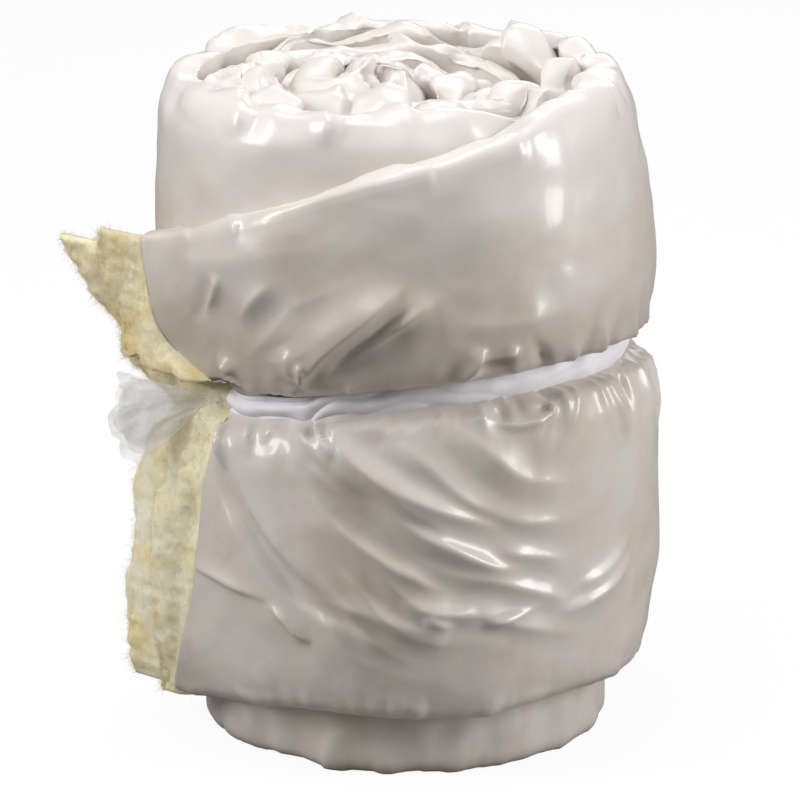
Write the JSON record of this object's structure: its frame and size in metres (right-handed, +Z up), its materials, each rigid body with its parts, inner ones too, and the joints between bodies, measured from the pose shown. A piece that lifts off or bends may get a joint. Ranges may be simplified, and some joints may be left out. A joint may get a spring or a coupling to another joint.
{
  "type": "duct insulation sleeve",
  "caption": "Film-jacketed glass fibre duct insulation sleeve, pressed flat, wound into a roll on its end and tied round the middle so its loose end flares.",
  "frame": {"origin": "on the floor, on the axis that the sleeve is wound about, where the roll stands", "axes": "+Z up along the roll's axis; -Y the front, with the outer turn's loose end at its left, toward -X"},
  "size_m": [0.38, 0.3125, 0.419],
  "materials": {
    "film": "glossy, cloudy off-white film",
    "glass_fibre": "matt, fibrous, pale yellow",
    "strap": "matt, finely woven, white"
  },
  "bodies": {
    "root": {"film_jacket": "film", "fiberglass_blanket": "glass_fibre", "tie_strap": "strap"}
  },
  "joints": []
}
